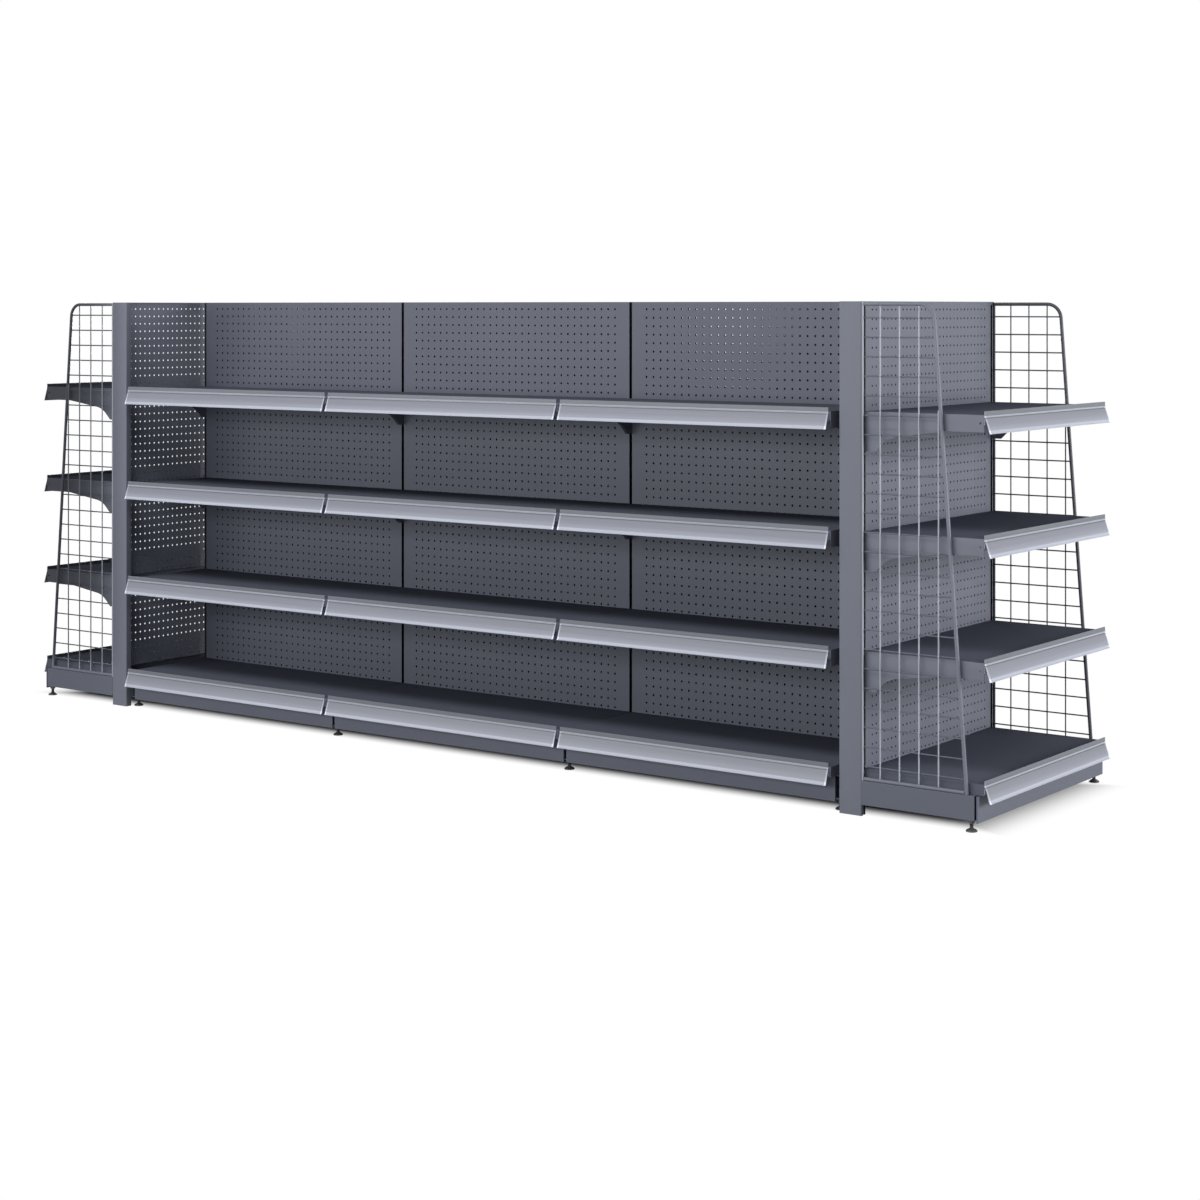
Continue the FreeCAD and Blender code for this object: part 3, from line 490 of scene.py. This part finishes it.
# Shelf brackets: flat steel plates that stand inside the deck ends and carry the sheet on their top edge.
# A hook and a plain tongue below it go into the slots of the uprights and the end posts.
def plate_mesh(name, rear, depth):
    """A plate under a deck that starts at rear and has that depth. The slotted face stands at 0."""
    deck_gap, nose_gap = 0.0015, 0.015
    step, shoulder = rear + deck_gap, -0.0241
    nose, nose_low, nose_length = rear + depth - nose_gap, -0.044, 0.098
    behind, tip, seat, pitch, neck, drop = -0.0023, -0.0053, -0.052, 0.0525, 0.024, 0.010
    tongue_low = seat - pitch
    half_plate = 0.001
    corners = [(step, 0, 0), (nose, 0, 0.002), (nose, nose_low, 0.004), (nose - nose_length, nose_low, 0.15),
               (0.071, -0.067, 0.08), (0.032, tongue_low, 0.006)]
    corners += [(tip, tongue_low, 0.001), (tip, tongue_low + neck, 0.001), (0, tongue_low + neck, 0)]
    corners += [(0, seat, 0), (behind, seat, 0), (behind, seat - drop, 0.001), (tip, seat - drop, 0.001),
                (tip, seat + neck, 0.001), (0, seat + neck, 0), (0, shoulder, 0), (step, shoulder, 0)]
    bm = bmesh.new()
    plate = rounded(corners, steps=8)
    extrude(bm, plate, -half_plate, half_plate, lambda out, height, side: (out, side, height))
    return finished(bm, name, deck_coat)


def bracket_tree():
    """Copies of a bracket on points."""
    tree, given, make = geometry_tree("set_out_brackets", ("Piece", "Object"), ("Material", "Material"))
    piece = make("GeometryNodeObjectInfo", "Geometry", Object=given["Piece"])
    make("NodeGroupOutput", values=[set_out(given, piece)])
    return tree


deck_sheet, bracket_inset = 0.0012, 0.0025
main_spots, end_spots = [], []
for row in shelf_rows:
    low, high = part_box(f"front_bay1_shelf{row}_deck")
    under = high.z - deck_sheet
    reach = (high.x - low.x) / 2 - bracket_inset
    for middle in bay_middles:
        for line in (middle - reach, middle + reach):
            main_spots.append((line, upright_low.y, under, -math.pi / 2))
            main_spots.append((line, upright_high.y, under, math.pi / 2))
    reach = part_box(f"right_end_shelf{row}_deck")[1].y - bracket_inset
    for line in (-reach, reach):
        end_spots.append((post_high.x, line, under, 0.0))
        end_spots.append((post_low.x, line, under, math.pi))
hooked = bracket_tree()
# The end brackets take the lighter post coat, like the deck cheeks above them.
for name, spots, rear, depth, finish in (("main_shelf_brackets", main_spots, 0.0125, 0.3575, deck_coat),
                                         ("end_shelf_brackets", end_spots, 0.0015, 0.3455, post_coat_and_painted_light)):
    pattern = bpy.data.objects.new(f"{name}_pattern", plate_mesh(name, rear, depth))
    bpy.context.collection.objects.link(pattern)
    mesh = grown(name, spot_mesh(name, spots), hooked, {"Piece": pattern, "Material": finish})
    bpy.data.objects.remove(pattern)
    fitted(name, mesh, "frame", "powder_coat", "shelf_brackets")


# Price rails: extruded grey plastic clipped on the front edge of every deck, from end to end.
# A lip stands above the deck, a sloping face takes the labels between two beads. Painted highlights lie on
# the beads, the cut ends and the label face beside them, a painted shadow in the groove under the top bead.
rail_material, tree = new_material("rail_plastic")
place = tree.node("ShaderNodeTexCoord", "Object")
drop = tree.node("ShaderNodeAttribute", "Fac", [("attribute_name", "drop")])
strip = tree.node("ShaderNodeAttribute", "Fac", [("attribute_name", "strip")])
stretched = tree.node("ShaderNodeMapping", Vector=place, Scale=(1.5, 1.5, 260.0))
streak = tree.node("ShaderNodeTexNoise", "Fac", Vector=stretched, Scale=1.0, Detail=3.0)
# Painted light and shade from the top of the rail to its foot: lip, painted highlight on the knee, painted
# shadow in the groove, label face that gets lighter downwards, painted highlight on the lower bead.
rail_painted_light_levels = ((0.0, 0.130), (0.195, 0.120), (0.205, 0.36), (0.275, 0.34), (0.285, 0.09), (0.325, 0.09),
               (0.335, 0.175), (0.60, 0.20), (0.84, 0.27), (0.86, 0.41), (1.0, 0.39))
rail_painted_light_and_shade = tree.node("ShaderNodeValToRGB", "Color", [("stops", rail_painted_light_levels)], Fac=drop)
# Painted highlight: the marked ends are almost twice as light.
shade = rail_painted_light_and_shade * (0.86 + 0.28 * streak) * (1.0 + 0.9 * strip)
surface = tree.node("ShaderNodeBsdfPrincipled", "BSDF", Base_Color=tinted((0.89, 0.94, 1.115), shade),
                    Roughness=0.34 + 0.1 * streak, IOR=1.45)
tree.node("ShaderNodeOutputMaterial", Surface=surface)


def rail_mesh(name, half, front, top, turn, shift=0.0):
    """One rail of that half length on a deck front at that distance and height.

    It is turned about Z and then shifted along X.
    """
    lip, rise, edge, knee, bead, wall = 0.003, 0.009, 0.001, 0.004, 0.0016, 0.002
    fall, lean, foot, flange, end_strip = 0.049, 0.016, 0.006, 0.025, 0.0045
    section = [(0, rise - edge), (edge, rise), (lip - edge, rise), (lip, rise - edge), (lip, -knee + bead),
               (lip + bead * 0.7, -knee + bead * 0.7), (lip + bead, -knee),
               (lip + bead * 0.7, -knee - bead * 0.7), (lip, -knee - bead),
               (lip + lean - bead, -fall + bead * 1.5), (lip + lean - bead * 0.3, -fall + bead * 1.3),
               (lip + lean, -fall + bead * 0.7), (lip + lean - bead * 0.3, -fall),
               (lip + lean - bead - wall, -fall), (wall, -knee - bead - lip), (wall, -flange - wall),
               (-foot, -flange - wall), (-foot, -flange), (0, -flange)]
    label_sides, middle_stretch = range(8, 12), 1
    bm = bmesh.new()
    drops = bm.verts.layers.float.new("drop")
    painted_end_highlights = bm.faces.layers.float.new("strip")
    set_place = Matrix.Translation((shift, 0, 0)) @ Matrix.Rotation(turn, 4, "Z")
    loops = []
    for side in (-half, end_strip - half, half - end_strip, half):
        loop = []
        for out, height in section:
            vertex = bm.verts.new(set_place @ Vector((front + out, side, top + height)))
            vertex[drops] = (rise - height) / (rise + fall)
            loop.append(vertex)
        loops.append(loop)
    # Painted highlight: the label face near each end and the cut end faces are marked to be lighter.
    for number, (near, far) in enumerate(zip(loops, loops[1:])):
        for index in range(len(section)):
            following = (index + 1) % len(section)
            face = bm.faces.new((near[index], near[following], far[following], far[index]))
            face[painted_end_highlights] = 1.0 if number != middle_stretch and index in label_sides else 0.0
    for loop in (loops[0], loops[-1]):
        bm.faces.new(loop)[painted_end_highlights] = 1.0
    return finished(bm, name, rail_material)


base_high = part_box("base_decks")[1]
rail_low, rail_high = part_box("front_bay1_shelf1_rail")
rail_gap = 0.002
rail_half = (rail_high.x - rail_low.x) / 2 - rail_gap
end_rail_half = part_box("right_end_shelf1_rail")[1].y
run_sides = (("front", -math.pi / 2), ("rear", math.pi / 2))
run_ends = (("right", 0.0), ("left", math.pi))
for row in shelf_rows:
    for side, turn in run_sides:
        for bay, middle in enumerate(bay_middles, 1):
            body = f"{side}_bay{bay}_shelf{row}"
            low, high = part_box(f"front_bay{bay}_shelf{row}_deck")
            mesh = rail_mesh(f"{body}_label_rail", rail_half, -low.y, high.z, turn, middle)
            stands_for = f"{body}_rail" if side == "front" else body
            fitted(f"{body}_label_rail", mesh, body, "price_rail", stands_for)
    for end, turn in run_ends:
        body = f"{end}_end_shelf{row}"
        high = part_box(f"right_end_shelf{row}_deck")[1]
        mesh = rail_mesh(f"{body}_label_rail", end_rail_half, high.x, high.z, turn)
        fitted(f"{body}_label_rail", mesh, body, "price_rail", f"{body}_rail")
for side, turn in run_sides:
    for bay, middle in enumerate(bay_middles, 1):
        name = f"base_label_rail_{side}_{bay}"
        mesh = rail_mesh(name, rail_half, base_high.y, base_high.z, turn, middle)
        fitted(name, mesh, "frame", "price_rail", "base_price_rails")
for end, turn in run_ends:
    name = f"base_label_rail_{end}"
    mesh = rail_mesh(name, end_rail_half, base_high.x, base_high.z, turn)
    fitted(name, mesh, "frame", "price_rail", "base_price_rails")


# Mesh side panels: a frame of round steel rod with one bent corner, filled with thin welded wire.
# One stands on each leg of the end caps, against the post.
def bar_tree():
    """Round bars along the edges of a mesh."""
    tree, given, make = geometry_tree("round_bars", ("Radius", "Float"), ("Sides", "Int"),
                                      ("Material", "Material"))
    lines = make("GeometryNodeMeshToCurve", Mesh=given["Geometry"])
    ring = make("GeometryNodeCurvePrimitiveCircle", "Curve", Resolution=given["Sides"],
                Radius=given["Radius"])
    bars = make("GeometryNodeCurveToMesh", Curve=lines, Profile_Curve=ring, Fill_Caps=True)
    bars = make("GeometryNodeRealizeInstances", Geometry=bars)
    bars = make("GeometryNodeSetShadeSmooth", Geometry=bars, Shade_Smooth=True)
    bars = make("GeometryNodeSetMaterial", Geometry=bars, Material=given["Material"])
    make("NodeGroupOutput", values=[bars])
    return tree


thin_coat = {"clouds": 0.1, "grain_scale": 500.0, "grain_height": 0.0001, "roughness": 0.4}
# Painted light and shade: the rods, side bars and most of all the upright wires are coated lighter than the
# level wires as painted light, and on the rear side of the run each is scaled darker as painted shade.
rod_coat_painted_light_and_shade = coat("rod_powder_coat_painted_light_and_shade", (0.135, 0.146, 0.180), rear=0.35, **thin_coat)
mesh_coat = coat("mesh_powder_coat_painted_shade", (0.094, 0.103, 0.133), rear=0.8, **thin_coat)
wire_coat_painted_light_and_shade = coat("wire_powder_coat_painted_light_and_shade", (0.33, 0.350, 0.395), rear=0.23, **thin_coat)
bar_coat_painted_light_and_shade = coat("bar_powder_coat_painted_light_and_shade", (0.28, 0.295, 0.335), rear=0.14, **thin_coat)
mesh_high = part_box("side_mesh_panels")[1]
rod, bar, wire, rod_sides, wire_sides = 0.005, 0.003, 0.002, 12, 8
rod_bottom, rod_top = leg_high.z + rod, mesh_high.z - rod
mesh_plane = post_high.y - rod
corner_depth, heel_depth, weld_gap = 0.2085, 0.304, 0.0005
corner = Vector((corner_depth, rod_top))
heel = Vector((heel_depth, rod_bottom))
fall = (heel - corner).normalized()
slope = fall.x / fall.y
bend_radius, bend_steps = 0.042, 10
turn_angle = math.acos(-fall.x)
tangent = bend_radius / math.tan(turn_angle / 2)
bend_centre = Vector((corner.x - tangent, rod_top - bend_radius))
bend_angles = [step / bend_steps * (math.pi - turn_angle) for step in range(bend_steps + 1)]
bend = [bend_centre + bend_radius * Vector((math.sin(angle), math.cos(angle))) for angle in bend_angles]
bent_rod = [(2 * bar, rod_top, 0.0)]
bent_rod += [(*point, 0.0) for point in bend]
bent_rod.append((heel.x, leg_high.z + weld_gap, 0.0))
rod_lines = [[(2 * bar, rod_bottom, 0.0), (heel.x - rod, rod_bottom, 0.0)], bent_rod]
bar_lines = [[(bar, leg_high.z, bar - rod), (bar, mesh_high.z, bar - rod)]]
level_count, level_first, level_pitch = 24, 0.033, 0.05113
level_lines = []
for row in range(level_count):
    height = rod_bottom + level_first + row * level_pitch
    level_lines.append([(2 * bar, height, wire), (heel.x + slope * (height - heel.y) - rod, height, wire)])
upright_count, upright_first, upright_pitch = 4, 0.055, 0.0565
upright_lines = []
for column in range(upright_count):
    depth = upright_first + column * upright_pitch
    top = min(rod_top - rod, heel.y + (depth + rod - heel.x) / slope)
    upright_lines.append([(depth, rod_bottom + rod, -wire), (depth, top, -wire)])
bars = bar_tree()
for name, lines, radius, sides, finish in (
        ("mesh_frame_rods", rod_lines, rod, rod_sides, rod_coat_painted_light_and_shade),
        ("mesh_side_bars", bar_lines, bar, rod_sides, bar_coat_painted_light_and_shade),
        ("mesh_level_wires", level_lines, wire, wire_sides, mesh_coat),
        ("mesh_upright_wires", upright_lines, wire, wire_sides, wire_coat_painted_light_and_shade)):
    points, edges = [], []
    for along, across in run_corners:
        for line in lines:
            for index, (depth, height, inset) in enumerate(line):
                if index:
                    edges.append((len(points) - 1, len(points)))
                points.append((along * (post_high.x + depth), across * (mesh_plane - inset), height))
    base = bpy.data.meshes.new(name)
    base.from_pydata(points, edges, [])
    mesh = grown(name, base, bars, {"Radius": radius, "Sides": sides, "Material": finish})
    fitted(name, mesh, "frame", "mesh_coat", "side_mesh_panels")


# Studio: a pale floor that runs out to white in a white room, with large soft lights on stands all round.
# The strongest lights stand at the front and on the right.
def seen(tree):
    """1 on rays of the camera, and on those that show the room in a shiny or clear piece."""
    camera_ray = tree.node("ShaderNodeLightPath", "Is Camera Ray")
    glossy_ray = tree.node("ShaderNodeLightPath", "Is Glossy Ray")
    return camera_ray + glossy_ray + tree.node("ShaderNodeLightPath", "Is Transmission Ray")


def flat_sheet(name, corners, material):
    """A flat sheet between four corners."""
    mesh = bpy.data.meshes.new(name)
    mesh.from_pydata(corners, [], [(0, 1, 2, 3)])
    mesh.materials.append(material)
    sheet = bpy.data.objects.new(name, mesh)
    bpy.context.collection.objects.link(sheet)
    return sheet


# The floor is plain under the base, where it holds the shadow, and turns white along the kick plates.
kick_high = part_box("kick_plates")[1]
floor_half, fade_width, end_share, end_inset = 40.0, 0.11, 0.55, 0.05
floor_material, tree = new_material("floor_white")
place = tree.node("ShaderNodeTexCoord", "Object")
folded = tree.node("ShaderNodeVectorMath", "Vector", [("operation", "ABSOLUTE")], Vector=place)
along = tree.node("ShaderNodeSeparateXYZ", "X", Vector=folded)
across = tree.node("ShaderNodeSeparateXYZ", "Y", Vector=folded)
distance = tree.math("MAXIMUM", end_share * (along - kick_high.x) - end_inset, across - kick_high.y)
far = tree.node("ShaderNodeMapRange", "Result", [("interpolation_type", "SMOOTHSTEP")], Value=distance,
                From_Min=-fade_width, From_Max=0.0)
pale = tree.node("ShaderNodeBsdfDiffuse", "BSDF", Color=(0.42, 0.42, 0.42, 1))
white = tree.node("ShaderNodeEmission", "Emission", Color=(1, 1, 1, 1), Strength=1.0)
shown = tree.node("ShaderNodeMixShader", values=(far, pale, white))
lit = tree.node("ShaderNodeMixShader", values=(seen(tree), pale, shown))
tree.node("ShaderNodeOutputMaterial", Surface=lit)
floor_corners = [(-floor_half, -floor_half, 0), (floor_half, -floor_half, 0),
                 (floor_half, floor_half, 0), (-floor_half, floor_half, 0)]
floor = flat_sheet("floor", floor_corners, floor_material)
world = bpy.data.worlds.new("studio")
bpy.context.scene.world = world
world.use_nodes = True
world.node_tree.nodes.clear()
tree = Socket(world.node_tree)
fill = tree.node("ShaderNodeBackground", "Background", Color=(1, 1, 1, 1), Strength=0.12)
backdrop = tree.node("ShaderNodeBackground", "Background", Color=(1, 1, 1, 1), Strength=1.0)
room = tree.node("ShaderNodeMixShader", values=(seen(tree), fill, backdrop))
tree.node("ShaderNodeOutputWorld", Surface=room)
for name, spot, aim, size, power in (
        ("front_softbox", (-0.6, -6.0, 1.6), (-0.3, 0.0, 0.7), (10.0, 1.6), 322.0),
        ("top_softbox", (-0.4, -2.8, 4.0), (-0.2, -0.4, 0.6), (6.0, 1.2), 130.0),
        ("right_softbox", (6.5, 1.2, 1.5), (1.4, 0.0, 0.7), (3.0, 2.0), 325.0),
        ("rear_softbox", (-4.6, 4.6, 1.6), (-0.4, 0.2, 0.7), (4.0, 1.6), 260.0)):
    lamp = bpy.data.lights.new(name, "AREA")
    lamp.shape = "RECTANGLE"
    lamp.size, lamp.size_y = size
    lamp.energy = power
    light = bpy.data.objects.new(name, lamp)
    light.location = spot
    light.rotation_euler = (Vector(aim) - Vector(spot)).to_track_quat("-Z", "Y").to_euler()
    bpy.context.collection.objects.link(light)

# Flag: a black net of loose weave that hangs in front of the left end and keeps most of the front light
# off it. It belongs to the studio, and the camera looks through it.
flag_left, flag_right, flag_front, flag_low, flag_high = -2.2, -1.45, -0.5, 0.16, 1.6
flag_open = 0.18
flag_material, tree = new_material("flag_black")
card = tree.node("ShaderNodeBsdfDiffuse", "BSDF", Color=(0.01, 0.01, 0.01, 1))
clear = tree.node("ShaderNodeBsdfTransparent", "BSDF", Color=(1, 1, 1, 1))
weave = flag_open + (1.0 - flag_open) * seen(tree)
net = tree.node("ShaderNodeMixShader", values=(weave, card, clear))
tree.node("ShaderNodeOutputMaterial", Surface=net)
flag_corners = [(flag_left, flag_front, flag_low), (flag_right, flag_front, flag_low),
                (flag_right, flag_front, flag_high), (flag_left, flag_front, flag_high)]
flag = flat_sheet("flag", flag_corners, flag_material)

# Camera: at eye height to the right of the front, level, with the picture shifted down.
# Its place, turn and lens are fitted to the corners of posts, shelves and panels in the photograph.
camera_data = bpy.data.cameras.new("camera")
camera_data.sensor_fit = "HORIZONTAL"
camera_data.sensor_width = 36.0
camera_data.lens = 68.82
camera_data.shift_x = 0.00588
camera_data.shift_y = -0.24405
camera_data.clip_end = 200.0
camera = bpy.data.objects.new("camera", camera_data)
camera.location = (4.41208, -5.66033, 1.33451)
camera.rotation_euler = (math.pi / 2, 0, math.radians(36.13))
bpy.context.collection.objects.link(camera)
bpy.context.scene.camera = camera
bpy.context.scene.view_settings.view_transform = "Standard"
